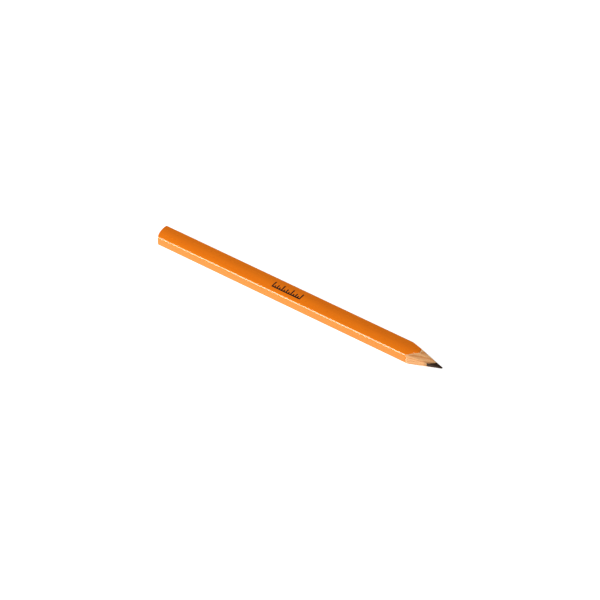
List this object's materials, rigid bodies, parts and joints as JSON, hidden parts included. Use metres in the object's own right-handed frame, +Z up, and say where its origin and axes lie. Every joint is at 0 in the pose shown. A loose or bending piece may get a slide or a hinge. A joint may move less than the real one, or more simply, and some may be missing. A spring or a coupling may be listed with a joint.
{
  "type": "carpenter pencil",
  "caption": "Flat orange lacquered carpenter pencil, knife-cut to a long point, with a wide flat lead between glued wooden slats and a small stamped scale.",
  "frame": {"origin": "on the surface the pencil lies on, under the middle of its length and width", "axes": "+X along the pencil from the butt towards the point, +Y across its width, +Z up through its thickness; it lies on one broad face"},
  "size_m": [0.178, 0.011, 0.006],
  "materials": {
    "slat_wood": "bare, knife cut at the point",
    "lead": "fired graphite and clay, dull metallic sheen",
    "white_glue": "dried wood glue",
    "undercoat": "matt",
    "orange_lacquer": "gloss",
    "clear_lacquer": "clear gloss over the colour",
    "stamping_foil": "satin black"
  },
  "bodies": {
    "root": {"lower_slat": "slat_wood", "upper_slat": "slat_wood", "lead_core": "lead", "lead_bed_lower": "white_glue", "lead_bed_upper": "white_glue", "slat_glue_near": "white_glue", "slat_glue_far": "white_glue", "undercoat": "undercoat", "colour_coat": "orange_lacquer", "clear_coat": "clear_lacquer", "stamped_scale": "stamping_foil"}
  },
  "joints": []
}
